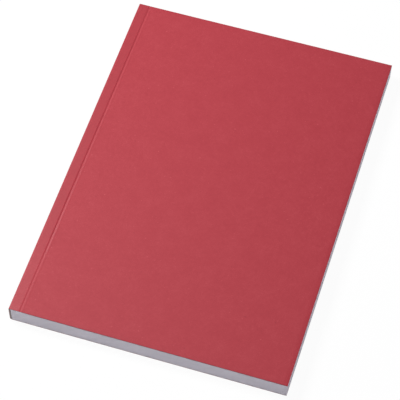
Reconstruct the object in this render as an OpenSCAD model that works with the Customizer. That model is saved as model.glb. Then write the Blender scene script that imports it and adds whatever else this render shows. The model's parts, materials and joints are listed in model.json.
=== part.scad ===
// Softcover notebook: a perfect-bound block of plain leaves in a one-piece card cover.
//
// The book lies closed on its back cover. X runs from the spine to the fore-edge, Y from
// the tail to the head, and Z from the back cover up to the front cover. The origin is in
// the middle of the footprint, on the underside of the back cover. Lengths are in mm.
//
// The cover of the real book is one card, folded round the spine and scored with a crease
// along each side, a little way in from the spine. From the spine to the crease it is glued
// to the first and the last leaf, and beyond the crease it opens. It is drawn as three
// pieces that meet in the middle of the two creases, where it bends.

/* [Trimmed book] */
// Width of the closed book, from the outside of the spine to the fore-edge
book_width = 148; // [100:1:220]
// Height of the closed book, from the tail to the head
book_height = 210; // [140:1:300]

/* [Page block] */
// Number of leaves in the block
leaf_count = 100; // [48:4:200]
// Thickness of one leaf
leaf_thickness = 0.1; // [0.07:0.01:0.15]

/* [Cover card] */
// Thickness of the card
card_thickness = 0.3; // [0.2:0.02:0.4]

/* [Spine] */
// Thickness of the hot-melt adhesive between the leaves and the card of the spine
adhesive_thickness = 0.4; // [0.2:0.05:0.8]
// Inside radius of the fold between the spine and the front cover
front_fold_radius = 0.2; // [0.1:0.05:1.2]
// Inside radius of the fold between the spine and the back cover
back_fold_radius = 0.9; // [0.1:0.05:1.2]

/* [Hinge creases] */
// Distance from the outside of the spine to the middle of each crease
crease_inset = 6.4; // [4:0.1:10]
// Width of the pressed groove, measured at the outside of the card
crease_width = 2; // [0.8:0.1:2.4]
// Thickness of the card that is left under the middle of the groove
crease_web = 0.12; // [0.08:0.01:0.16]

/* [Hidden] */
$fn = 96;

card_red = "#b74a52";
paper_white = "#e4e1de";
glue_amber = "#8d8270";

block_thickness = leaf_count * leaf_thickness;
book_thickness = block_thickness + 2 * card_thickness;

// Where the leaves begin, measured from the outside of the spine
leaf_start = card_thickness + adhesive_thickness;

// The groove is an arc, pressed by a round-nosed rule, that is crease_width wide at the
// outside of the card and goes groove_depth into it
groove_depth = card_thickness - crease_web;
groove_radius = (pow(crease_width / 2, 2) + pow(groove_depth, 2)) / (2 * groove_depth);

// How far a cutting shape runs past the surface that it cuts
cut_margin = 1;

// Sections are drawn in the X-Z plane with the outside of the spine at zero, and this
// draws one out from the tail to the head
module from_tail_to_head() {
    translate([-book_width / 2, book_height / 2, 0])
        rotate([90, 0, 0])
            linear_extrude(height = book_height)
                children();
}

// What a fold of this radius takes off a square corner that points at the origin
module fold_relief(radius) {
    difference() {
        translate([-cut_margin, -cut_margin])
            square(radius + cut_margin);
        translate([radius, radius])
            circle(r = radius);
    }
}

// Section of the whole closed book, taken this deep inside the outside of the card
module book_section(depth) {
    front_radius = front_fold_radius + card_thickness - depth;
    back_radius = back_fold_radius + card_thickness - depth;
    difference() {
        translate([depth, depth])
            square([book_width - depth, book_thickness - 2 * depth]);
        translate([depth, depth])
            fold_relief(back_radius);
        translate([depth, book_thickness - depth])
            mirror([0, 1])
                fold_relief(front_radius);
    }
}

// Section of the pressed groove over the crease of the front cover
module front_groove() {
    translate([crease_inset, book_thickness - groove_depth + groove_radius])
        circle(r = groove_radius);
}

// The same for what lies on the other side of the book
module on_the_back() {
    translate([0, book_thickness])
        mirror([0, 1])
            children();
}

// Section of one cover, from the middle of its crease to the fore-edge
module cover_section() {
    difference() {
        translate([crease_inset, book_thickness - card_thickness])
            square([book_width - crease_inset, card_thickness]);
        front_groove();
    }
}

// All the leaves, glued at the spine and trimmed flush on the other three sides
module page_block() {
    color(paper_white)
        from_tail_to_head()
            intersection() {
                book_section(card_thickness);
                translate([leaf_start, 0])
                    square([book_width - leaf_start, book_thickness]);
            }
}

// The film of adhesive that holds the leaves to each other and to the spine
module spine_adhesive() {
    color(glue_amber)
        from_tail_to_head()
            intersection() {
                book_section(card_thickness);
                square([leaf_start, book_thickness]);
            }
}

// The card round the spine, with the two hinge strips that are glued to the outer leaves
module spine_wrap() {
    color(card_red)
        from_tail_to_head()
            difference() {
                intersection() {
                    book_section(0);
                    square([crease_inset, book_thickness]);
                }
                book_section(card_thickness);
                front_groove();
                on_the_back()
                    front_groove();
            }
}

// The front cover, which opens upwards about its crease
module front_cover() {
    color(card_red)
        from_tail_to_head()
            cover_section();
}

// The back cover, which the book lies on and which opens about its own crease
module back_cover() {
    color(card_red)
        from_tail_to_head()
            on_the_back()
                cover_section();
}

page_block();
spine_adhesive();
spine_wrap();
front_cover();
back_cover();
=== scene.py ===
# %% [markdown]
# A softcover notebook, lying closed on a white table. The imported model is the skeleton: it has
# the block of leaves, the adhesive along the spine and the card of the cover, at their real
# size, and hinges at the two creases. This script puts the look of the real book around it.
# What matters to the eye here is small: the pressed crease, the cut edges of a thin card, the
# stack of leaf edges, and a matt red card that is nowhere quite even.
#
# The model is loaded first and never changed. Every size below is either measured on it or
# written in millimetres, and Blender itself works in metres.

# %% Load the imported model
import json
import math

import bpy
import numpy as np
from mathutils import Matrix, Vector


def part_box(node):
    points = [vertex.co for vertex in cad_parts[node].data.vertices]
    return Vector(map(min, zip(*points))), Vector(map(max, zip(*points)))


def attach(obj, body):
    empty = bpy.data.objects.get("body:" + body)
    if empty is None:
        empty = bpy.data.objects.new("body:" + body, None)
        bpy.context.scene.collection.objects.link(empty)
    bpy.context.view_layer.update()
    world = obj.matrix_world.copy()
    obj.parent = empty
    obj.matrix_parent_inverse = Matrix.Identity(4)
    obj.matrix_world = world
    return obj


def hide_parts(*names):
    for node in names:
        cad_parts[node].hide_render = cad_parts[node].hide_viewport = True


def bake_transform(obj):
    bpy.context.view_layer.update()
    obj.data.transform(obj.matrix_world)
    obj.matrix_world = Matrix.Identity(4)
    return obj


MM = 0.001

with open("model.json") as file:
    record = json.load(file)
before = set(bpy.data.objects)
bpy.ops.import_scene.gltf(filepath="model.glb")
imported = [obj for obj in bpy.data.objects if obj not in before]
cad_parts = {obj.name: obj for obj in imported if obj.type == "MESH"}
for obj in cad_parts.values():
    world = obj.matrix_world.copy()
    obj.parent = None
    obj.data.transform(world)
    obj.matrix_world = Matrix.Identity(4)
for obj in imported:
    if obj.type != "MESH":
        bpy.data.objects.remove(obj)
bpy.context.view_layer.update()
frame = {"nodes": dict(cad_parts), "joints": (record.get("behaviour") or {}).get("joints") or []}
print("nodes of the packed model:", ", ".join(sorted(frame["nodes"])))

# %% [markdown]
# The camera comes next, because all that follows is judged through it. Its place was solved
# from the straight edges of the book in the photograph. The long lens keeps the edges nearly
# parallel. An azimuth of 0 would look from the tail to the head.

# %% Camera
CAMERA_PLACE = (0.16285, -0.52387, 0.82252)
CAMERA_AZIMUTH = 17.749
CAMERA_ELEVATION = 56.524
CAMERA_ROLL = 0.253
SENSOR_WIDTH = 36.0
LENS = 165.6
CLIP_START = 0.05


def add_object(name, data):
    """Puts a new object with this data into the scene."""
    added = bpy.data.objects.new(name, data)
    bpy.context.scene.collection.objects.link(added)
    return added


camera = add_object("camera", bpy.data.cameras.new("camera"))
camera.data.sensor_width = SENSOR_WIDTH
camera.data.lens = LENS
camera.data.clip_start = CLIP_START
turn = Matrix.Rotation(math.radians(CAMERA_AZIMUTH), 4, "Z")
tilt = Matrix.Rotation(math.radians(90 - CAMERA_ELEVATION), 4, "X")
roll = Matrix.Rotation(math.radians(-CAMERA_ROLL), 4, "Z")
camera.matrix_world = Matrix.Translation(CAMERA_PLACE) @ turn @ tilt @ roll
bpy.context.scene.camera = camera
print("the camera looks at the book from", CAMERA_PLACE)

# %% [markdown]
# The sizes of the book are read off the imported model, so that the two can't drift apart. A
# node's corners give its box. The round folds and the pressed groove are read from the points
# of its mesh: where the flat top begins, and how deep the groove is in its middle. Places that
# are less than a thousandth of a millimetre apart count as the same.

# %% Measure the model
SAME_PLACE = 0.001 * MM


def points_of(node):
    """A node's points, as rows of x, y and z."""
    return np.array([v.co for v in frame["nodes"][node].data.vertices])


def flat_start(node, height):
    """The lowest x among a node's points at this height."""
    points = points_of(node)
    return float(points[abs(points[:, 2] - height) < SAME_PLACE, 0].min())


cover_low, cover_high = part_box("front_cover")
block_low, block_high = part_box("page_block")
TAIL_Y, HEAD_Y = cover_low.y, cover_high.y
FORE_X = cover_high.x
SPINE_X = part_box("spine_wrap")[0].x
TOP_Z, BOTTOM_Z = cover_high.z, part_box("back_cover")[0].z
CARD = cover_high.z - cover_low.z
CREASE_X = frame["joints"][0]["pos_m"][0]

FRONT_FOLD = flat_start("spine_wrap", TOP_Z) - SPINE_X
BACK_FOLD = flat_start("spine_wrap", BOTTOM_Z) - SPINE_X
GROOVE_WIDTH = 2 * (flat_start("front_cover", TOP_Z) - CREASE_X)
cover_points = points_of("front_cover")
at_crease = cover_points[:, 0] < CREASE_X + SAME_PLACE
GROOVE_DEPTH = TOP_Z - float(cover_points[at_crease, 2].max())
print(f"card {CARD / MM:.2f} mm, folds {FRONT_FOLD / MM:.2f} and {BACK_FOLD / MM:.2f} mm")
print(f"groove {GROOVE_WIDTH / MM:.2f} mm wide and {GROOVE_DEPTH / MM:.2f} mm deep")

# %% [markdown]
# The cover is one card, wrapped round the block. The clean way to draw such a thing is to
# follow it: walk along the outside of the card from the fore-edge of the front, over the
# crease, round the two folds of the spine and on to the fore-edge of the back. The distance
# walked is called the travel. For any travel this cell gives the place on the outside of the
# card and the direction that points out of it. Every piece of the cover is then a stretch of
# the same path, so the pieces meet exactly and the grain of the card can run through them.
#
# The book was cut flush while it was clamped, and then it eased: in the photograph the
# fore-edge leans out by about 0.2 mm from the back cover to the front cover. The front cover
# keeps its size, so the back cover ends that much sooner.

# %% The path of the card
LEAN = 0.22 * MM
BACK_FORE_X = FORE_X - LEAN
FOLD_1_START = FORE_X - (SPINE_X + FRONT_FOLD)
SPINE_START = FOLD_1_START + FRONT_FOLD * math.pi / 2
FOLD_2_START = SPINE_START + (TOP_Z - FRONT_FOLD) - (BOTTOM_Z + BACK_FOLD)
BACK_START = FOLD_2_START + BACK_FOLD * math.pi / 2
PATH_END = BACK_START + BACK_FORE_X - (SPINE_X + BACK_FOLD)
FRONT_CREASE = FORE_X - CREASE_X
BACK_CREASE = PATH_END - (BACK_FORE_X - CREASE_X)


def fold_place(centre_z, radius, angle):
    """Place and outward direction on a fold of the spine, by the angle above the +X axis."""
    out = Vector((math.cos(angle), 0, math.sin(angle)))
    return Vector((SPINE_X + radius, 0, centre_z)) + radius * out, out


def card_path(travel):
    """Place on the outside of the card, at the middle of its height, and the way out of it."""
    if travel <= FOLD_1_START:
        return Vector((FORE_X - travel, 0, TOP_Z)), Vector((0, 0, 1))
    if travel <= SPINE_START:
        angle = math.pi / 2 + (travel - FOLD_1_START) / FRONT_FOLD
        return fold_place(TOP_Z - FRONT_FOLD, FRONT_FOLD, angle)
    if travel <= FOLD_2_START:
        height = TOP_Z - FRONT_FOLD - (travel - SPINE_START)
        return Vector((SPINE_X, 0, height)), Vector((-1, 0, 0))
    if travel <= BACK_START:
        angle = math.pi + (travel - FOLD_2_START) / BACK_FOLD
        return fold_place(BOTTOM_Z + BACK_FOLD, BACK_FOLD, angle)
    return Vector((BACK_FORE_X - (PATH_END - travel), 0, BOTTOM_Z)), Vector((0, 0, -1))


print(f"the card is {PATH_END / MM:.1f} mm wide when it is laid flat")

# %% [markdown]
# The crease was pressed into the card with a round-nosed rule. Three things show. The groove
# has a wall on the spine's side, which is in shade, and one on the cover's side, which catches
# the light. The cover beyond it sits a few hundredths of a millimetre lower than the strip
# along the spine. And the front cover isn't glued down, so it has slow, very shallow waves. All
# three are small moves of the card's surface into the book, never out of it, so the size stays
# as modelled.
#
# The rule didn't press evenly: the groove is shallow near the tail, deepest along the middle,
# and a little shallower again at the head, and its bottom lies 0.15 mm to the spine's side of
# the hinge. A cover that is folded back has to clear the strip, so the outside of both covers
# also lies lower than the strip, by a few thousandths of a millimetre.

# %% How hard the crease was pressed
TAIL_PRESS, HARD_PRESS, HEAD_PRESS = 0.65, 1.15, 0.9
PRESS_RISES, PRESS_HARD = 25 * MM, 55 * MM
PRESS_FALLS, PRESS_SOFT = 25 * MM, 5 * MM


def ease(value, start, end):
    """Goes smoothly from 0 at start to 1 at end."""
    share = min(max((value - start) / (end - start), 0), 1)
    return share * share * (3 - 2 * share)


def press(y):
    """How hard the rule pressed at this height, where 1 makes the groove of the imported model."""
    harder = (HARD_PRESS - TAIL_PRESS) * ease(y - TAIL_Y, PRESS_RISES, PRESS_HARD)
    softer = (HARD_PRESS - HEAD_PRESS) * ease(HEAD_Y - y, PRESS_FALLS, PRESS_SOFT)
    return TAIL_PRESS + harder - softer


deepest = press((TAIL_Y + HEAD_Y) / 2) * GROOVE_DEPTH
print(f"the groove is {press(TAIL_Y) * GROOVE_DEPTH / MM:.2f} to {deepest / MM:.2f} mm deep")

# %% Relief of the card
RIM = 0.005 * MM
SINK = 0.04 * MM
SINK_START, SINK_END = 0.95 * MM, 1.8 * MM
BOTTOM_OFFSET = 0.15 * MM
SPINE_WALL = GROOVE_WIDTH / 2 - BOTTOM_OFFSET
COVER_WALL = 0.95 * MM
WAVE_DEPTH = 0.022 * MM
WAVE_START, WAVE_FULL = 6 * MM, 30 * MM
WAVE_ALONG, WAVE_ACROSS, WAVE_SLANT = 173 * MM, 118 * MM, 231 * MM
ALONG_PHASE, ACROSS_PHASE = 0.7, 1.9
SLANT = 1.4


def beyond_crease(travel):
    """How far a place is past the nearer crease, towards the fore-edge."""
    return max(FRONT_CREASE - travel, travel - BACK_CREASE)


def groove(travel, y):
    """Depth of the pressed groove at this travel and height."""
    off_bottom = beyond_crease(travel) + BOTTOM_OFFSET
    wall = COVER_WALL if off_bottom > 0 else SPINE_WALL
    if abs(off_bottom) >= wall:
        return 0
    return press(y) * GROOVE_DEPTH / 2 * (1 + math.cos(math.pi * off_bottom / wall))


def rim(travel):
    """How far the outside of a cover lies below the strip along the spine."""
    return RIM * ease(beyond_crease(travel), 0, GROOVE_WIDTH / 2)


def settle(travel, y):
    """How far the front cover, outside and inside alike, lies below its flat place."""
    if travel > FOLD_1_START:
        return 0
    beyond = beyond_crease(travel)
    sunk = (SINK - RIM) * ease(beyond, SINK_START, SINK_END)
    along = math.sin(2 * math.pi * (y - TAIL_Y) / WAVE_ALONG + ALONG_PHASE)
    across = math.sin(2 * math.pi * travel / WAVE_ACROSS + ACROSS_PHASE)
    slant = math.sin(2 * math.pi * (y + SLANT * travel) / WAVE_SLANT)
    waves = WAVE_DEPTH * ease(beyond, WAVE_START, WAVE_FULL) * (1 + (along + across + slant) / 3)
    return sunk + waves


print(f"the front cover sinks by at most {(SINK + 2 * WAVE_DEPTH) / MM:.2f} mm")

# %% [markdown]
# A sheet of card is a closed shell: an outside, an inside one card thickness below it, and
# narrow walls all round. A knife leaves the rim of the walls very slightly round, which shows
# as a fine line, so the two faces draw together over the last hundredths of a millimetre.
# Each point also stores where it lies on the flat card, its travel, height and depth. The
# material reads that, so its grain follows the folds, and stays put when a cover opens.

# %% Round the cut edges and number the faces
CUT_RADIUS = 0.05 * MM


def drawn_in(distance, other_distance):
    """How far a face has drawn in at these distances from two cut edges."""
    a = max(CUT_RADIUS - distance, 0)
    b = max(CUT_RADIUS - other_distance, 0)
    return CUT_RADIUS - math.sqrt(max(CUT_RADIUS ** 2 - a * a - b * b, 0))


def shell_faces(rows, columns):
    """Four-sided faces of a closed shell: its outside grid, its inside grid and its walls."""
    inside = rows * columns
    faces = []
    for i in range(rows - 1):
        for j in range(columns - 1):
            a, b = i * columns + j, (i + 1) * columns + j
            faces.append((a, a + 1, b + 1, b))
            faces.append((inside + a, inside + b, inside + b + 1, inside + a + 1))
    tail = [i * columns for i in range(rows)]
    head = [i * columns + columns - 1 for i in reversed(range(rows))]
    first = list(reversed(range(columns)))
    last = [(rows - 1) * columns + j for j in range(columns)]
    for wall in (tail, head, first, last):
        faces += [(a, b, inside + b, inside + a) for a, b in zip(wall, wall[1:])]
    return faces


print("a shell on a grid of 2 x 2 points has", len(shell_faces(2, 2)), "faces, as a box has")

# %% Build a sheet of card
SHARP_ANGLE = 35


def store(mesh, name, kind, values):
    """Keeps one value for each point of the mesh, under a name that a material can read."""
    attribute = mesh.attributes.new(name, kind, "POINT")
    field = "vector" if kind == "FLOAT_VECTOR" else "value"
    attribute.data.foreach_set(field, np.array(values, dtype=np.float32).ravel())


def card_sheet(name, travels, heights):
    """A closed sheet of card between the first and the last of these travels and heights."""
    outside, inside, flat_outside, flat_inside, cut = [], [], [], [], []
    for travel in travels:
        place, out = card_path(travel)
        for y in heights:
            drawn = drawn_in(min(y - TAIL_Y, HEAD_Y - y), min(travel, PATH_END - travel))
            settled = settle(travel, y)
            on_card = place + Vector((0, y, 0))
            outside.append(on_card - out * (settled + rim(travel) + max(groove(travel, y), drawn)))
            inside.append(on_card - out * (settled + CARD - drawn))
            flat_outside.append((travel, y, 0))
            flat_inside.append((travel, y, CARD))
            # share of the rounded cut rim; the material darkens the cut edges by it, partly as
            # painted shade
            cut.append(drawn / CUT_RADIUS)
    mesh = bpy.data.meshes.new(name)
    mesh.from_pydata(outside + inside, [], shell_faces(len(travels), len(heights)))
    mesh.polygons.foreach_set("use_smooth", [True] * len(mesh.polygons))
    mesh.set_sharp_from_angle(angle=math.radians(SHARP_ANGLE))
    store(mesh, "flat_place", "FLOAT_VECTOR", flat_outside + flat_inside)
    store(mesh, "cut", "FLOAT", cut + cut)
    print(f"{name}: {len(mesh.polygons)} faces")
    return add_object(name, mesh)


# %% [markdown]
# Points are only spent where the card turns: closely at the cut edges, in the groove and round
# the folds, and a few millimetres apart on the flat. The crease is a piece of its own, because
# it is the part of the card that bends when a cover opens: one side of it stays with the
# spine and the other goes with the cover.

# %% Steps along and across the card
FLAT_STEP, STRIP_STEP = 3 * MM, 1 * MM
FRONT_FOLD_STEP, BACK_FOLD_STEP = 0.08 * MM, 0.15 * MM
GROOVE_STEP, BEND_STEP = 0.1 * MM, 0.024 * MM
CREASE_REACH = 2.4 * MM
BEND_REACH = 0.12 * MM
FINE_REACH = 1.2 * BEND_REACH


def steps(start, end, step):
    """Evenly spaced values from start to end, both included, no further apart than step."""
    return list(np.linspace(start, end, max(2, math.ceil(abs(end - start) / step) + 1)))


def merged(*runs):
    """All the values of several runs in rising order, each once."""
    values = sorted(float(value) for run in runs for value in run)
    return [v for k, v in enumerate(values) if k == 0 or v - values[k - 1] > SAME_PLACE]


cut_steps = [0, 0.3 * CUT_RADIUS, CUT_RADIUS]
heights = merged(
    [TAIL_Y + s for s in cut_steps],
    steps(TAIL_Y + FLAT_STEP, HEAD_Y - FLAT_STEP, FLAT_STEP),
    [HEAD_Y - s for s in cut_steps],
)
front_travels = merged(cut_steps, steps(FLAT_STEP, FRONT_CREASE - CREASE_REACH, FLAT_STEP))
back_travels = merged(
    steps(BACK_CREASE + CREASE_REACH, PATH_END - FLAT_STEP, FLAT_STEP),
    [PATH_END - s for s in cut_steps],
)
crease_steps = merged(
    steps(-CREASE_REACH, CREASE_REACH, GROOVE_STEP),
    steps(-FINE_REACH, FINE_REACH, BEND_STEP),
)
wrap_travels = merged(
    steps(FRONT_CREASE + CREASE_REACH, FOLD_1_START, STRIP_STEP),
    steps(FOLD_1_START, SPINE_START, FRONT_FOLD_STEP),
    steps(SPINE_START, FOLD_2_START, STRIP_STEP),
    steps(FOLD_2_START, BACK_START, BACK_FOLD_STEP),
    steps(BACK_START, BACK_CREASE - CREASE_REACH, STRIP_STEP),
)
print(f"{len(heights)} steps from tail to head, {len(wrap_travels)} round the spine")

# %% The five pieces of the cover
front_panel = card_sheet("front_cover_card", front_travels, heights)
back_panel = card_sheet("back_cover_card", back_travels, heights)
spine_card = card_sheet("spine_card", wrap_travels, heights)
front_crease = card_sheet("front_crease", [FRONT_CREASE + s for s in crease_steps], heights)
back_crease = card_sheet("back_crease", [BACK_CREASE + s for s in crease_steps], heights)

# %% [markdown]
# Materials and Geometry Nodes are both trees of nodes, so one small function serves both: it
# adds a node, sets its options, and fills or links its inputs. Colours are written the way a
# paint program shows them, and turned into the linear numbers that Blender computes with. A
# noise texture gives values from 0 to 1, but nearly all of them lie between 0.3 and 0.7, and
# most of the patterns below start from that range.

# %% Helpers for nodes
NOISE_LOW, NOISE_HIGH = 0.3, 0.7


def add_node(tree, kind, inputs=(), **options):
    """Adds a node. An input takes a value, an output of another node, or a node's first output."""
    node = tree.nodes.new(kind)
    for option, value in options.items():
        setattr(node, option, value)
    for socket, value in dict(inputs).items():
        if isinstance(value, bpy.types.Node):
            value = value.outputs[0]
        if isinstance(value, bpy.types.NodeSocket):
            tree.links.new(value, node.inputs[socket])
        else:
            node.inputs[socket].default_value = value
    return node


def paint(hex_code):
    """The linear colour of an sRGB hex code, with full alpha."""
    shares = [int(hex_code[k:k + 2], 16) / 255 for k in (0, 2, 4)]
    linear = [s / 12.92 if s <= 0.04045 else ((s + 0.055) / 1.055) ** 2.4 for s in shares]
    return (*linear, 1.0)


def new_material(name):
    """A material with this name, and its tree, which is still empty."""
    material = bpy.data.materials.new(name)
    material.use_nodes = True
    material.node_tree.nodes.clear()
    print("material:", name)
    return material, material.node_tree


print(f"a middle grey, 808080, is {paint('808080')[0]:.3f} in linear light")

# %% [markdown]
# The block of leaves follows a rule, so Geometry Nodes make it. A hundred leaves lie on each
# other, and a guillotine has cut all of them at once on three sides. The cut isn't a smooth
# wall: each leaf ends in a flat of its own, with a fine gap to the next, and no two leaves lie
# quite true. The tree draws one profile through all the leaf edges, sweeps it round the
# outline of a leaf, closes it with the first and the last leaf, and then shifts each leaf by
# a few hundredths of a millimetre. It is one closed skin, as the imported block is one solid.

# %% Sizes of the block
LEAF = 0.1 * MM
LEAF_SHIFT = 0.03 * MM
leaf_tree = bpy.data.node_groups.new("leaf_stack", "GeometryNodeTree")
block_inputs = {
    "Leaves": ("NodeSocketInt", round((block_high.z - block_low.z) / LEAF)),
    "Thickness": ("NodeSocketFloat", block_high.z - block_low.z),
    "Width": ("NodeSocketFloat", block_high.x - block_low.x - LEAF_SHIFT),
    "Height": ("NodeSocketFloat", block_high.y - block_low.y - 2 * LEAF_SHIFT),
    "Columns": ("NodeSocketInt", 50),
    "Rows": ("NodeSocketInt", 31),
    "Gap depth": ("NodeSocketFloat", 0.05 * MM),
    "Leaf shift": ("NodeSocketFloat", LEAF_SHIFT),
    "Lean": ("NodeSocketFloat", LEAN),
    "Spine side": ("NodeSocketFloat", block_low.x),
    "Underside": ("NodeSocketFloat", block_low.z),
    "Fold start": ("NodeSocketFloat", SPINE_X + CARD),
    "Fold radius": ("NodeSocketFloat", BACK_FOLD - CARD),
    "Squeeze": ("NodeSocketFloat", 0.030),
    "Squeeze start": ("NodeSocketFloat", CREASE_X - 1 * MM),
    "Squeeze end": ("NodeSocketFloat", CREASE_X + 4 * MM),
    "Seed": ("NodeSocketInt", 7),
    "Paper": ("NodeSocketMaterial", None),
}
for name, (kind, value) in block_inputs.items():
    leaf_tree.interface.new_socket(name=name, in_out="INPUT", socket_type=kind)
leaf_tree.interface.new_socket(name="Geometry", in_out="OUTPUT", socket_type="NodeSocketGeometry")
given = add_node(leaf_tree, "NodeGroupInput").outputs
print(len(block_inputs), "inputs for the block of leaves")

# %% [markdown]
# The profile has three points for each leaf: one deep in the gap below it, and one at each rim
# of its flat end. It begins and ends on a rim, where the first and the last leaf close it. The
# points are numbered from 1, and the number divided by three says where a point belongs: the
# whole part is the leaf, and the rest is 0 in the gap, a third on the lower rim and two thirds
# on the upper one.

# %% Profile of the leaf edges
POINTS_PER_LEAF = 3
FLAT_SHARE = 0.7
GAP_LIMIT = 0.1
rim_share = (1 - FLAT_SHARE) / 2
half_span = 1 / (2 * POINTS_PER_LEAF * FLAT_SHARE)

points = add_node(leaf_tree, "ShaderNodeMath", {
    0: given["Leaves"], 1: POINTS_PER_LEAF, 2: -1,
}, operation="MULTIPLY_ADD")
line = add_node(leaf_tree, "GeometryNodeMeshLine", {"Count": points})
line = add_node(leaf_tree, "GeometryNodeMeshToCurve", {"Mesh": line})
index = add_node(leaf_tree, "GeometryNodeInputIndex")
index = add_node(leaf_tree, "ShaderNodeMath", {0: index, 1: 1}, operation="ADD")
count = add_node(leaf_tree, "ShaderNodeMath", {0: index, 1: POINTS_PER_LEAF}, operation="DIVIDE")
whole = add_node(leaf_tree, "ShaderNodeMath", {0: count}, operation="FLOOR")
part = add_node(leaf_tree, "ShaderNodeMath", {0: count}, operation="FRACT")
in_leaf = add_node(leaf_tree, "ShaderNodeMapRange", {
    "Value": part, "From Min": 0.5 - half_span, "From Max": 0.5 + half_span,
})
level = add_node(leaf_tree, "ShaderNodeMath", {0: whole, 1: in_leaf}, operation="ADD")
last_rim = add_node(leaf_tree, "ShaderNodeMath", {
    0: given["Leaves"], 1: rim_share,
}, operation="SUBTRACT")
level = add_node(leaf_tree, "ShaderNodeMapRange", {
    "Value": level, "From Min": rim_share, "From Max": last_rim, "To Max": given["Thickness"],
})
in_gap = add_node(leaf_tree, "ShaderNodeMath", {0: part, 1: GAP_LIMIT}, operation="LESS_THAN")
depth = add_node(leaf_tree, "ShaderNodeMath", {
    0: in_gap, 1: given["Gap depth"],
}, operation="MULTIPLY")
upward = add_node(leaf_tree, "ShaderNodeMath", {0: level, 1: -1}, operation="MULTIPLY")
place = add_node(leaf_tree, "ShaderNodeCombineXYZ", {"X": depth, "Y": upward})
profile = add_node(leaf_tree, "GeometryNodeSetPosition", {"Geometry": line, "Position": place})
print(f"each leaf edge is flat over {FLAT_SHARE:.0%} of the leaf's thickness")

# %% [markdown]
# A leaf is a flat grid, and its outline is made of the edges that have only one face beside
# them. The profile is swept round that outline for the walls of the block. The same grid closes
# the top, and turned over it closes the bottom. Points that meet there are merged into one.

# %% Sweep it round a leaf and close it
FACES_INSIDE = 2
MERGE_WITHIN = 0.002 * MM

leaf = add_node(leaf_tree, "GeometryNodeMeshGrid", {
    "Size X": given["Width"], "Size Y": given["Height"],
    "Vertices X": given["Columns"], "Vertices Y": given["Rows"],
})
faces_beside = add_node(leaf_tree, "GeometryNodeInputMeshEdgeNeighbors")
on_outline = add_node(leaf_tree, "ShaderNodeMath", {
    0: faces_beside, 1: FACES_INSIDE,
}, operation="LESS_THAN")
outline = add_node(leaf_tree, "GeometryNodeMeshToCurve", {"Mesh": leaf, "Selection": on_outline})
outline = add_node(leaf_tree, "GeometryNodeSetCurveNormal", {"Curve": outline}, mode="Z_UP")
walls = add_node(leaf_tree, "GeometryNodeCurveToMesh", {"Curve": outline, "Profile Curve": profile})
lift = add_node(leaf_tree, "ShaderNodeCombineXYZ", {"Z": given["Thickness"]})
first_leaf = add_node(leaf_tree, "GeometryNodeTransform", {"Geometry": leaf, "Translation": lift})
last_leaf = add_node(leaf_tree, "GeometryNodeFlipFaces", {"Mesh": leaf})
skin = add_node(leaf_tree, "GeometryNodeJoinGeometry")
for surface in (last_leaf, walls, first_leaf):
    leaf_tree.links.new(surface.outputs[0], skin.inputs[0])
skin = add_node(leaf_tree, "GeometryNodeMergeByDistance", {
    "Geometry": skin, "Distance": MERGE_WITHIN,
})
print(f"points of the skin within {MERGE_WITHIN / MM:.3f} mm of each other become one")

# %% [markdown]
# Each point finds its leaf by its height. The leaf gives it a random tone and a random shift.
# Across the page only the half at the fore-edge takes part in the shift, since the other half
# is held by the glue. Lower leaves are also set back at the fore-edge, so that it leans. A
# little is added to the height before it is rounded down to a leaf, so that a point on a
# leaf's lower rim can't fall to the leaf below.

# %% Shift and tone of each leaf
ROUNDING_ROOM = 0.05

place = add_node(leaf_tree, "GeometryNodeInputPosition")
place = add_node(leaf_tree, "ShaderNodeSeparateXYZ", {"Vector": place}).outputs
one_leaf = add_node(leaf_tree, "ShaderNodeMath", {
    0: given["Thickness"], 1: given["Leaves"],
}, operation="DIVIDE")
level = add_node(leaf_tree, "ShaderNodeMath", {0: place["Z"], 1: one_leaf}, operation="DIVIDE")
own_leaf = add_node(leaf_tree, "ShaderNodeMath", {0: level, 1: ROUNDING_ROOM}, operation="ADD")
own_leaf = add_node(leaf_tree, "ShaderNodeMath", {0: own_leaf}, operation="FLOOR")
tone = add_node(leaf_tree, "FunctionNodeRandomValue", {"ID": own_leaf, "Seed": given["Seed"]})
toned = add_node(leaf_tree, "GeometryNodeStoreNamedAttribute", {
    "Geometry": skin, "Name": "leaf_tone", "Value": tone.outputs[1],
}, domain="FACE")
shift = add_node(leaf_tree, "FunctionNodeRandomValue", {
    0: (-1, -1, 0), 1: (1, 1, 0), "ID": own_leaf, "Seed": given["Seed"],
}, data_type="FLOAT_VECTOR")
shift = add_node(leaf_tree, "ShaderNodeVectorMath", {
    0: shift, "Scale": given["Leaf shift"],
}, operation="SCALE")
shift = add_node(leaf_tree, "ShaderNodeSeparateXYZ", {"Vector": shift}).outputs
is_free = add_node(leaf_tree, "ShaderNodeMath", {0: place["X"], 1: 0}, operation="GREATER_THAN")
half_width = add_node(leaf_tree, "ShaderNodeMath", {
    0: given["Width"], 1: 0.5, 2: given["Spine side"],
}, operation="MULTIPLY_ADD")
new_x = add_node(leaf_tree, "ShaderNodeMath", {0: place["X"], 1: half_width}, operation="ADD")
set_back = add_node(leaf_tree, "ShaderNodeMapRange", {
    "Value": place["Z"], "From Max": given["Thickness"], "To Min": given["Lean"], "To Max": 0,
})
outward = add_node(leaf_tree, "ShaderNodeMath", {
    0: shift["X"], 1: set_back,
}, operation="SUBTRACT")
new_x = add_node(leaf_tree, "ShaderNodeMath", {
    0: is_free, 1: outward, 2: new_x,
}, operation="MULTIPLY_ADD")
new_y = add_node(leaf_tree, "ShaderNodeMath", {0: place["Y"], 1: shift["Y"]}, operation="ADD")
print(f"leaves shift by up to {LEAF_SHIFT / MM:.2f} mm, and the block leans by {LEAN / MM:.2f} mm")

# %% [markdown]
# Then the block is fitted to the card. Its lower corner at the spine is rounded to lie in the
# fold: a point that would lie outside the fold's circle moves in to it. Beyond the crease the
# block is a little thinner, because nothing presses the leaves up against the loose cover
# there.

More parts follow.
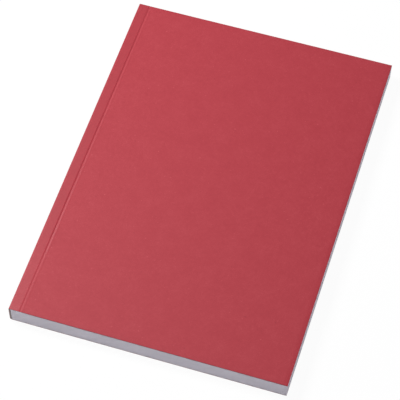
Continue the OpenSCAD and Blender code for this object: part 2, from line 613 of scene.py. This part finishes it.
# %% Fit the block to the card
radius = given["Fold radius"]
below = add_node(leaf_tree, "ShaderNodeMath", {0: radius, 1: place["Z"]}, operation="SUBTRACT")
below = add_node(leaf_tree, "ShaderNodeMath", {0: below, 1: 0}, operation="MAXIMUM")
below = add_node(leaf_tree, "ShaderNodeMath", {0: below, 1: 2}, operation="POWER")
across = add_node(leaf_tree, "ShaderNodeMath", {0: radius, 1: 2}, operation="POWER")
across = add_node(leaf_tree, "ShaderNodeMath", {0: across, 1: below}, operation="SUBTRACT")
across = add_node(leaf_tree, "ShaderNodeMath", {0: across}, operation="SQRT")
centre = add_node(leaf_tree, "ShaderNodeMath", {0: given["Fold start"], 1: radius}, operation="ADD")
card_side = add_node(leaf_tree, "ShaderNodeMath", {0: centre, 1: across}, operation="SUBTRACT")
new_x = add_node(leaf_tree, "ShaderNodeMath", {0: new_x, 1: card_side}, operation="MAXIMUM")
glued = add_node(leaf_tree, "ShaderNodeMapRange", {
    "Value": new_x, "From Min": given["Squeeze start"], "From Max": given["Squeeze end"],
    "To Min": 1, "To Max": 0,
}, interpolation_type="SMOOTHSTEP")
full = add_node(leaf_tree, "ShaderNodeMath", {0: 1, 1: given["Squeeze"]}, operation="SUBTRACT")
share = add_node(leaf_tree, "ShaderNodeMath", {
    0: glued, 1: given["Squeeze"], 2: full,
}, operation="MULTIPLY_ADD")
new_z = add_node(leaf_tree, "ShaderNodeMath", {
    0: place["Z"], 1: share, 2: given["Underside"],
}, operation="MULTIPLY_ADD")
new_place = add_node(leaf_tree, "ShaderNodeCombineXYZ", {"X": new_x, "Y": new_y, "Z": new_z})
fitted = add_node(leaf_tree, "GeometryNodeSetPosition", {"Geometry": toned, "Position": new_place})
real = add_node(leaf_tree, "GeometryNodeRealizeInstances", {"Geometry": fitted})
papered = add_node(leaf_tree, "GeometryNodeSetMaterial", {
    "Geometry": real, "Material": given["Paper"],
})
add_node(leaf_tree, "NodeGroupOutput", {"Geometry": papered})
print(len(leaf_tree.nodes), "nodes make the block of leaves")

# %% [markdown]
# The card is a pulp-dyed cover board: the colour is in the fibres, so the cut edges and the
# inside are red too. It was pressed smooth between rollers but not coated, which leaves it
# matt. Up close it is cloudy, because the fibres settled unevenly, and here and there flecked
# with a fibre that took more or less of the dye. Closer still it is a felt of fibres, about a
# third of a millimetre long, that stand out by a hundredth or so and differ a little in tone,
# and under them the surface swells by a few hundredths every two or three millimetres. All
# these patterns are read in flat places on the card, and each has its real size in
# millimetres. The flecks are the rare values of a noise, the highest and the lowest.

# %% Clouds, mottle and flecks of the card
CLOUD_SIZE, MOTTLE_SIZE, FLECK_SIZE = 9 * MM, 2.2 * MM, 1.4 * MM
CLOUD_LOW, CLOUD_HIGH = 0.485, 0.515
MOTTLE_TONE = 0.014
PALE_START, PALE_FULL, PALE_TONE = 0.71, 0.79, 0.12
DARK_FULL, DARK_START, DARK_TONE = 0.21, 0.28, -0.10

card_material, tree = new_material("dyed_cover_board")
flat_place = add_node(tree, "ShaderNodeAttribute", attribute_name="flat_place").outputs["Vector"]
cut_share = add_node(tree, "ShaderNodeAttribute", attribute_name="cut").outputs["Fac"]
clouds = add_node(tree, "ShaderNodeTexNoise", {
    "Vector": flat_place, "Scale": 1 / CLOUD_SIZE, "Detail": 3.0,
})
clouds = add_node(tree, "ShaderNodeMapRange", {
    "Value": clouds, "From Min": NOISE_LOW, "From Max": NOISE_HIGH,
    "To Min": CLOUD_LOW, "To Max": CLOUD_HIGH,
})
mottle = add_node(tree, "ShaderNodeTexNoise", {"Vector": flat_place, "Scale": 1 / MOTTLE_SIZE})
mottle = add_node(tree, "ShaderNodeMapRange", {
    "Value": mottle, "From Min": NOISE_LOW, "From Max": NOISE_HIGH,
    "To Min": -MOTTLE_TONE, "To Max": MOTTLE_TONE,
})
flecks = add_node(tree, "ShaderNodeTexNoise", {
    "Vector": flat_place, "Scale": 1 / FLECK_SIZE, "Detail": 1.0,
})
pale = add_node(tree, "ShaderNodeMapRange", {
    "Value": flecks, "From Min": PALE_START, "From Max": PALE_FULL,
    "To Min": 0, "To Max": PALE_TONE,
})
dark = add_node(tree, "ShaderNodeMapRange", {
    "Value": flecks, "From Min": DARK_FULL, "From Max": DARK_START,
    "To Min": DARK_TONE, "To Max": 0,
})
print(f"clouds of {CLOUD_SIZE / MM:.1f} mm, mottle of {MOTTLE_SIZE / MM:.1f} mm")

# %% Felt of fibres
FIBRE_SIZE, SWELL_SIZE = 0.35 * MM, 2.5 * MM
FIBRE_TONE = 0.06
FIBRE_SHARE = 0.35
BUMP_HEIGHT, BUMP_STRENGTH = 0.05 * MM, 0.9

fibres = add_node(tree, "ShaderNodeTexNoise", {
    "Vector": flat_place, "Scale": 1 / FIBRE_SIZE, "Detail": 3.0, "Distortion": 1.2,
})
fibre_tone = add_node(tree, "ShaderNodeMapRange", {
    "Value": fibres, "From Min": NOISE_LOW, "From Max": NOISE_HIGH,
    "To Min": -FIBRE_TONE, "To Max": FIBRE_TONE,
})
swells = add_node(tree, "ShaderNodeTexNoise", {"Vector": flat_place, "Scale": 1 / SWELL_SIZE})
relief = add_node(tree, "ShaderNodeMath", {
    0: fibres, 1: FIBRE_SHARE, 2: swells,
}, operation="MULTIPLY_ADD")
bump = add_node(tree, "ShaderNodeBump", {
    "Height": relief, "Distance": BUMP_HEIGHT, "Strength": BUMP_STRENGTH,
})
print(f"fibres of {FIBRE_SIZE / MM:.2f} mm on swells of {SWELL_SIZE / MM:.1f} mm")

# %% [markdown]
# Between the two creases the card was pressed onto the glue, which left it a little smoother,
# so the strip along the spine has more sheen than the cover beside it. Away from the tail the
# pressure was higher. There the strip is painted a little darker than the cover, which is
# painted shade, and the rule burnished the grooves, so that the wall that faces the light has a
# fine bright line on it.

# %% Where the card was pressed
STRIP_FADE = 0.5 * MM
BURNISH_FULL, BURNISH_END = 0.6 * MM, 1.0 * MM

on_flat_card = add_node(tree, "ShaderNodeSeparateXYZ", {"Vector": flat_place}).outputs
travel, up_card = on_flat_card["X"], on_flat_card["Y"]
past_front = add_node(tree, "ShaderNodeMapRange", {
    "Value": travel, "From Min": FRONT_CREASE - STRIP_FADE, "From Max": FRONT_CREASE + STRIP_FADE,
}, interpolation_type="SMOOTHSTEP")
before_back = add_node(tree, "ShaderNodeMapRange", {
    "Value": travel, "From Min": BACK_CREASE + STRIP_FADE, "From Max": BACK_CREASE - STRIP_FADE,
}, interpolation_type="SMOOTHSTEP")
on_strip = add_node(tree, "ShaderNodeMath", {0: past_front, 1: before_back}, operation="MULTIPLY")
off_creases = []
for crease in (FRONT_CREASE, BACK_CREASE):
    off = add_node(tree, "ShaderNodeMath", {0: travel, 1: crease}, operation="SUBTRACT")
    off_creases.append(add_node(tree, "ShaderNodeMath", {0: off}, operation="ABSOLUTE"))
nearer = add_node(tree, "ShaderNodeMath", {
    0: off_creases[0], 1: off_creases[1],
}, operation="MINIMUM")
in_groove = add_node(tree, "ShaderNodeMapRange", {
    "Value": nearer, "From Min": BURNISH_FULL, "From Max": BURNISH_END, "To Min": 1, "To Max": 0,
}, interpolation_type="SMOOTHSTEP")
hard_pressed = add_node(tree, "ShaderNodeMapRange", {
    "Value": up_card, "From Min": TAIL_Y + PRESS_RISES, "From Max": TAIL_Y + PRESS_HARD,
}, interpolation_type="SMOOTHSTEP")
burnished = add_node(tree, "ShaderNodeMath", {0: in_groove, 1: hard_pressed}, operation="MULTIPLY")
# painted shade: the strip is darker than the cover away from the tail
painted_shade_strip = add_node(tree, "ShaderNodeMath", {0: on_strip, 1: hard_pressed}, operation="MULTIPLY")
print(f"the grooves are burnished {BURNISH_FULL / MM:.1f} mm to each side of the hinge")

# %% Smoothness of the card
OPEN_ROUGHNESS, STRIP_ROUGHNESS, GROOVE_ROUGHNESS = 0.6, 0.5, 0.38

roughness = add_node(tree, "ShaderNodeMapRange", {
    "Value": on_strip, "To Min": OPEN_ROUGHNESS, "To Max": STRIP_ROUGHNESS,
})
roughness = add_node(tree, "ShaderNodeMapRange", {
    "Value": burnished, "To Min": roughness, "To Max": GROOVE_ROUGHNESS,
})
print(f"roughness {OPEN_ROUGHNESS} on the cover, {GROOVE_ROUGHNESS} in the groove")

# %% [markdown]
# All the patterns add up to one number, the tone. A colour ramp turns it into a red: the plain
# red of the card is in the middle, at 0.5, and a darker and a paler one are at its ends. The
# strip's painted shade is added to the tone. The cut edges are darker still: the knife pressed
# their fibres together, and the rest of their darkening is painted shade along the edges.

# %% Put the card material together
# the strip's tone is painted shade; the cut edges' tone is pressed fibres and painted shade
STRIP_SHADE, CUT_FIBRE_AND_SHADE = -0.045, -0.42
MIDDLE_TONE = 0.5
DARK_RED, PLAIN_RED, PALE_RED = "5a1219", "b2333e", "e87c82"

tint = clouds
for pattern in (mottle, fibre_tone, pale, dark):
    tint = add_node(tree, "ShaderNodeMath", {0: tint, 1: pattern}, operation="ADD")
for place, tone in ((painted_shade_strip, STRIP_SHADE), (cut_share, CUT_FIBRE_AND_SHADE)):
    tint = add_node(tree, "ShaderNodeMath", {0: place, 1: tone, 2: tint}, operation="MULTIPLY_ADD")
colour = add_node(tree, "ShaderNodeValToRGB", {"Fac": tint})
colour.color_ramp.elements[0].color = paint(DARK_RED)
colour.color_ramp.elements[1].color = paint(PALE_RED)
colour.color_ramp.elements.new(MIDDLE_TONE).color = paint(PLAIN_RED)
board = add_node(tree, "ShaderNodeBsdfPrincipled", {
    "Base Color": colour, "Normal": bump, "Roughness": roughness,
    "IOR": 1.45, "Specular IOR Level": 0.45,
})
add_node(tree, "ShaderNodeOutputMaterial", {"Surface": board})
print(len(tree.nodes), "nodes make the card")

# %% [markdown]
# The leaves are uncoated writing paper. On a page it is plain white. On the cut sides it looks
# greyer, because light is lost between the leaves. Each leaf has a random tone of its own, and
# on top of it the paper is streaked along the leaves: the streaks are painted light and shade
# for leaves that stand a hair further out than others. The streaks are a noise of 0.7 mm,
# stretched to fifty times its length along the leaves. Along the spine the leaf edges are
# darker, less and less over half a millimetre or so: the hot glue has run in between the leaves
# and stained them, and the rest of the darkening is painted shade of the corner at the spine.

# %% Streaked paper
STREAK_SIZE, STREAK_STRETCH = 0.7 * MM, 50
STREAK_LOW, STREAK_HIGH = 0.4, 0.55
LEAF_TONE = 0.1

paper_material, tree = new_material("uncoated_writing_paper")
here = add_node(tree, "ShaderNodeTexCoord").outputs["Object"]
leaf_tone = add_node(tree, "ShaderNodeAttribute", attribute_name="leaf_tone").outputs["Fac"]
stretched = add_node(tree, "ShaderNodeMapping", {
    "Vector": here, "Scale": (1 / STREAK_STRETCH, 1 / STREAK_STRETCH, 1),
})
# painted light and shade: streaks for leaves that stand a hair further out than others
streaks = add_node(tree, "ShaderNodeTexNoise", {
    "Vector": stretched, "Scale": 1 / STREAK_SIZE, "Detail": 3.0,
})
streaks = add_node(tree, "ShaderNodeMapRange", {
    "Value": streaks, "From Min": NOISE_LOW, "From Max": NOISE_HIGH,
    "To Min": STREAK_LOW, "To Max": STREAK_HIGH,
})
tint = add_node(tree, "ShaderNodeMath", {
    0: leaf_tone, 1: LEAF_TONE, 2: streaks,
}, operation="MULTIPLY_ADD")
colour = add_node(tree, "ShaderNodeValToRGB", {"Fac": tint})
colour.color_ramp.elements[0].color = paint("e1dce3")
colour.color_ramp.elements[1].color = paint("fcf8fd")
print(f"streaks of {STREAK_SIZE / MM:.1f} mm, stretched {STREAK_STRETCH} times")

# %% [markdown]
# A Mix node has inputs of the same name for numbers, vectors and colours, so the ones for
# colours are picked by their place.

# %% Glue stain and painted shade along the spine
SEEP, STAIN_AND_SHADE = 0.7 * MM, 0.65
COLOUR_A, COLOUR_B, MIXED_COLOUR = 6, 7, 2

across = add_node(tree, "ShaderNodeSeparateXYZ", {"Vector": here}).outputs["X"]
glued = add_node(tree, "ShaderNodeMapRange", {
    "Value": across, "From Min": block_low.x, "From Max": block_low.x + SEEP,
    "To Min": STAIN_AND_SHADE, "To Max": 0,
}, interpolation_type="SMOOTHSTEP")
# the leaf edges darken towards the spine: partly glue stain, partly painted shade of the corner
stained_and_shaded = add_node(tree, "ShaderNodeMix", {
    0: glued, COLOUR_A: colour, COLOUR_B: paint("706762"),
}, data_type="RGBA").outputs[MIXED_COLOUR]
paper = add_node(tree, "ShaderNodeBsdfPrincipled", {
    "Base Color": stained_and_shaded, "Roughness": 0.9, "IOR": 1.45, "Specular IOR Level": 0.25,
})
add_node(tree, "ShaderNodeOutputMaterial", {"Surface": paper})
print(f"the glue has run {SEEP / MM:.1f} mm in between the leaves")

# %% [markdown]
# Now the tree for the block can be used. It goes on an empty object as a modifier, whose inputs
# are set by the identifier of each socket. Blender works it out once, the result becomes a
# plain mesh, and the modifier is taken off again.

# %% Make the block of leaves
block = add_object("leaf_block", bpy.data.meshes.new("empty"))
modifier = block.modifiers.new("leaf_stack", "NODES")
modifier.node_group = leaf_tree
for socket in leaf_tree.interface.items_tree:
    if socket.name == "Paper":
        modifier[socket.identifier] = paper_material
    elif socket.in_out == "INPUT":
        modifier[socket.identifier] = block_inputs[socket.name][1]
graph = bpy.context.evaluated_depsgraph_get()
block_mesh = bpy.data.meshes.new_from_object(block.evaluated_get(graph))
block.modifiers.clear()
block.data = block_mesh
print("leaf_block:", len(block_mesh.polygons), "faces")

# %% [markdown]
# The adhesive is a hot-melt, amber and slightly waxy. Its dark colour is partly painted shade of
# the narrow place between the leaves and the spine. Only its ends show, as a line 0.4 mm wide
# between the leaves and the spine, which makes the card's cut edge there look thicker than it
# is. The imported solid already has its true shape, so it stays and only gets a material.

# %% Adhesive material
WAX_CLOUD_SIZE = 0.6 * MM

glue_material, tree = new_material("hot_melt_adhesive")
here = add_node(tree, "ShaderNodeTexCoord").outputs["Object"]
cloudy = add_node(tree, "ShaderNodeTexNoise", {"Vector": here, "Scale": 1 / WAX_CLOUD_SIZE})
colour = add_node(tree, "ShaderNodeValToRGB", {"Fac": cloudy})
# amber of the glue, darkened by painted shade of the narrow place at the spine
colour.color_ramp.elements[0].color = paint("60544e")
colour.color_ramp.elements[1].color = paint("94877c")
wax = add_node(tree, "ShaderNodeBsdfPrincipled", {"Base Color": colour, "Roughness": 0.45})
add_node(tree, "ShaderNodeOutputMaterial", {"Surface": wax})
adhesive = frame["nodes"]["spine_adhesive"]
adhesive.data.materials.clear()
adhesive.data.materials.append(glue_material)
print("the adhesive keeps the shape of the packed solid")

# %% [markdown]
# The five pieces of card get the card's material. The block, the card of the spine and the two
# covers are each put on the body of the imported model that they move with, and the solid of
# the imported model that each replaces is hidden. The block and the card of the spine stay with
# the book, and each cover has a body of its own.

# %% Put the pieces on their bodies
for piece in (front_panel, back_panel, spine_card, front_crease, back_crease):
    piece.data.materials.append(card_material)
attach(block, "book")
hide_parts("page_block")
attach(spine_card, "book")
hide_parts("spine_wrap")
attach(front_panel, "front_cover")
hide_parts("front_cover")
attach(back_panel, "back_cover")
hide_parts("back_cover")
print("the leaves, the spine and both covers are on their bodies")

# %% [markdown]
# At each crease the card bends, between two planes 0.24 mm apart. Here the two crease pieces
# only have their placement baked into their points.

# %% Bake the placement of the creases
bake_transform(front_crease)
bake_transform(back_crease)
print(f"each crease bends within {2 * BEND_REACH / MM:.2f} mm")

# %% [markdown]
# The floor is a white table. It lies a hair below the book, by little more than the thickness
# of the card, so that the back cover still shows when it is opened out flat beside the book.

# %% Floor
FLOOR_GAP = 0.02 * MM
FLOOR_Z = BOTTOM_Z - CARD - FLOOR_GAP
FLOOR_HALF = 3.0

signs = ((-1, -1), (1, -1), (1, 1), (-1, 1))
corners = [(x * FLOOR_HALF, y * FLOOR_HALF, FLOOR_Z) for x, y in signs]
floor_mesh = bpy.data.meshes.new("floor")
floor_mesh.from_pydata(corners, [], [(0, 1, 2, 3)])
floor = add_object("floor", floor_mesh)
print(f"the floor lies {(BOTTOM_Z - FLOOR_Z) / MM:.2f} mm below the book")

# %% [markdown]
# The camera sees the floor as a white that keeps a trace of the shadow, and everything else
# is lit by it as by a plain white sheet. What the camera sees in a glossy surface, or through a
# clear one, counts as seen too.

# %% White of the table
TABLE_GLOW = 0.95


def seen_rays(tree):
    """An output that is 1 for a ray that ends in the picture, and 0 for a ray that only lights."""
    rays = add_node(tree, "ShaderNodeLightPath").outputs
    seen = rays["Is Camera Ray"]
    for kind in ("Is Glossy Ray", "Is Transmission Ray"):
        seen = add_node(tree, "ShaderNodeMath", {0: seen, 1: rays[kind]}, operation="MAXIMUM")
    return seen


floor_material, tree = new_material("white_table")
seen = seen_rays(tree)
sheet = add_node(tree, "ShaderNodeBsdfDiffuse", {"Color": paint("f0f0f0")})
shaded = add_node(tree, "ShaderNodeBsdfDiffuse", {"Color": paint("454545")})
glow = add_node(tree, "ShaderNodeEmission", {"Strength": TABLE_GLOW})
white = add_node(tree, "ShaderNodeAddShader", {0: glow, 1: shaded})
mixed = add_node(tree, "ShaderNodeMixShader", {0: seen, 1: sheet, 2: white})
add_node(tree, "ShaderNodeOutputMaterial", {"Surface": mixed})
floor_mesh.materials.append(floor_material)
print(len(tree.nodes), "nodes make the white of the table")

# %% [markdown]
# The photograph's light is soft and comes from the upper left. The cover is brightest near the
# spine and fades towards the lower right, which one square lamp does by itself. The lamp stands
# to the left so that its light crosses the pressed crease at a slant: one wall of the groove
# is in shade and the other one catches the light. It doesn't reach the tail or the fore-edge.

# %% Lamp
LAMP_PLACE = Vector((-0.476, 0.097, 0.680))
LAMP_SIZE = 0.30
LAMP_POWER = 6.20

lamp = add_object("lamp", bpy.data.lights.new("lamp", "AREA"))
lamp.data.shape = "SQUARE"
lamp.data.size = LAMP_SIZE
lamp.data.energy = LAMP_POWER
lamp.location = LAMP_PLACE
lamp.rotation_euler = (-LAMP_PLACE).to_track_quat("-Z", "Y").to_euler()
lamp.visible_camera = False
print(f"the lamp is {LAMP_SIZE} m wide, {LAMP_PLACE.length:.2f} m from the middle of the book")

# %% [markdown]
# The rest of the light comes from all around, as in a white tent. The walls of the tent are
# brighter than its roof, which is what lights the upright sides of the book: the stacked edges
# of the leaves would be a dull grey without it. The wall across from the lamp is the brightest,
# since the lamp shines on it, and so the fore-edge is a little lighter than the tail.

# %% Surroundings
ROOF_LIGHT = 0.08
WALL_LIGHT = 0.86
WALL_FADE = 2
FAR_WALL_GAIN = 0.4

world = bpy.data.worlds.new("studio")
world.use_nodes = True
bpy.context.scene.world = world
tree = world.node_tree
tree.nodes.clear()
seen = seen_rays(tree)
way = add_node(tree, "ShaderNodeTexCoord").outputs["Generated"]
way = add_node(tree, "ShaderNodeSeparateXYZ", {"Vector": way}).outputs
lowness = add_node(tree, "ShaderNodeMath", {
    0: 1, 1: way["Z"],
}, operation="SUBTRACT", use_clamp=True)
lowness = add_node(tree, "ShaderNodeMath", {0: lowness, 1: WALL_FADE}, operation="POWER")
strength = add_node(tree, "ShaderNodeMath", {
    0: lowness, 1: WALL_LIGHT, 2: ROOF_LIGHT,
}, operation="MULTIPLY_ADD")
gain = add_node(tree, "ShaderNodeMath", {
    0: way["X"], 1: FAR_WALL_GAIN, 2: 1,
}, operation="MULTIPLY_ADD")
strength = add_node(tree, "ShaderNodeMath", {0: strength, 1: gain}, operation="MULTIPLY")
fill = add_node(tree, "ShaderNodeBackground", {"Color": paint("f7f5ff"), "Strength": strength})
white = add_node(tree, "ShaderNodeBackground", {"Color": (1, 1, 1, 1)})
mixed = add_node(tree, "ShaderNodeMixShader", {0: seen, 1: fill, 2: white})
add_node(tree, "ShaderNodeOutputWorld", {"Surface": mixed})
bpy.context.scene.view_settings.view_transform = "Standard"
print(f"the walls are {(WALL_LIGHT + ROOF_LIGHT) / ROOF_LIGHT:.0f} times as bright as the roof")
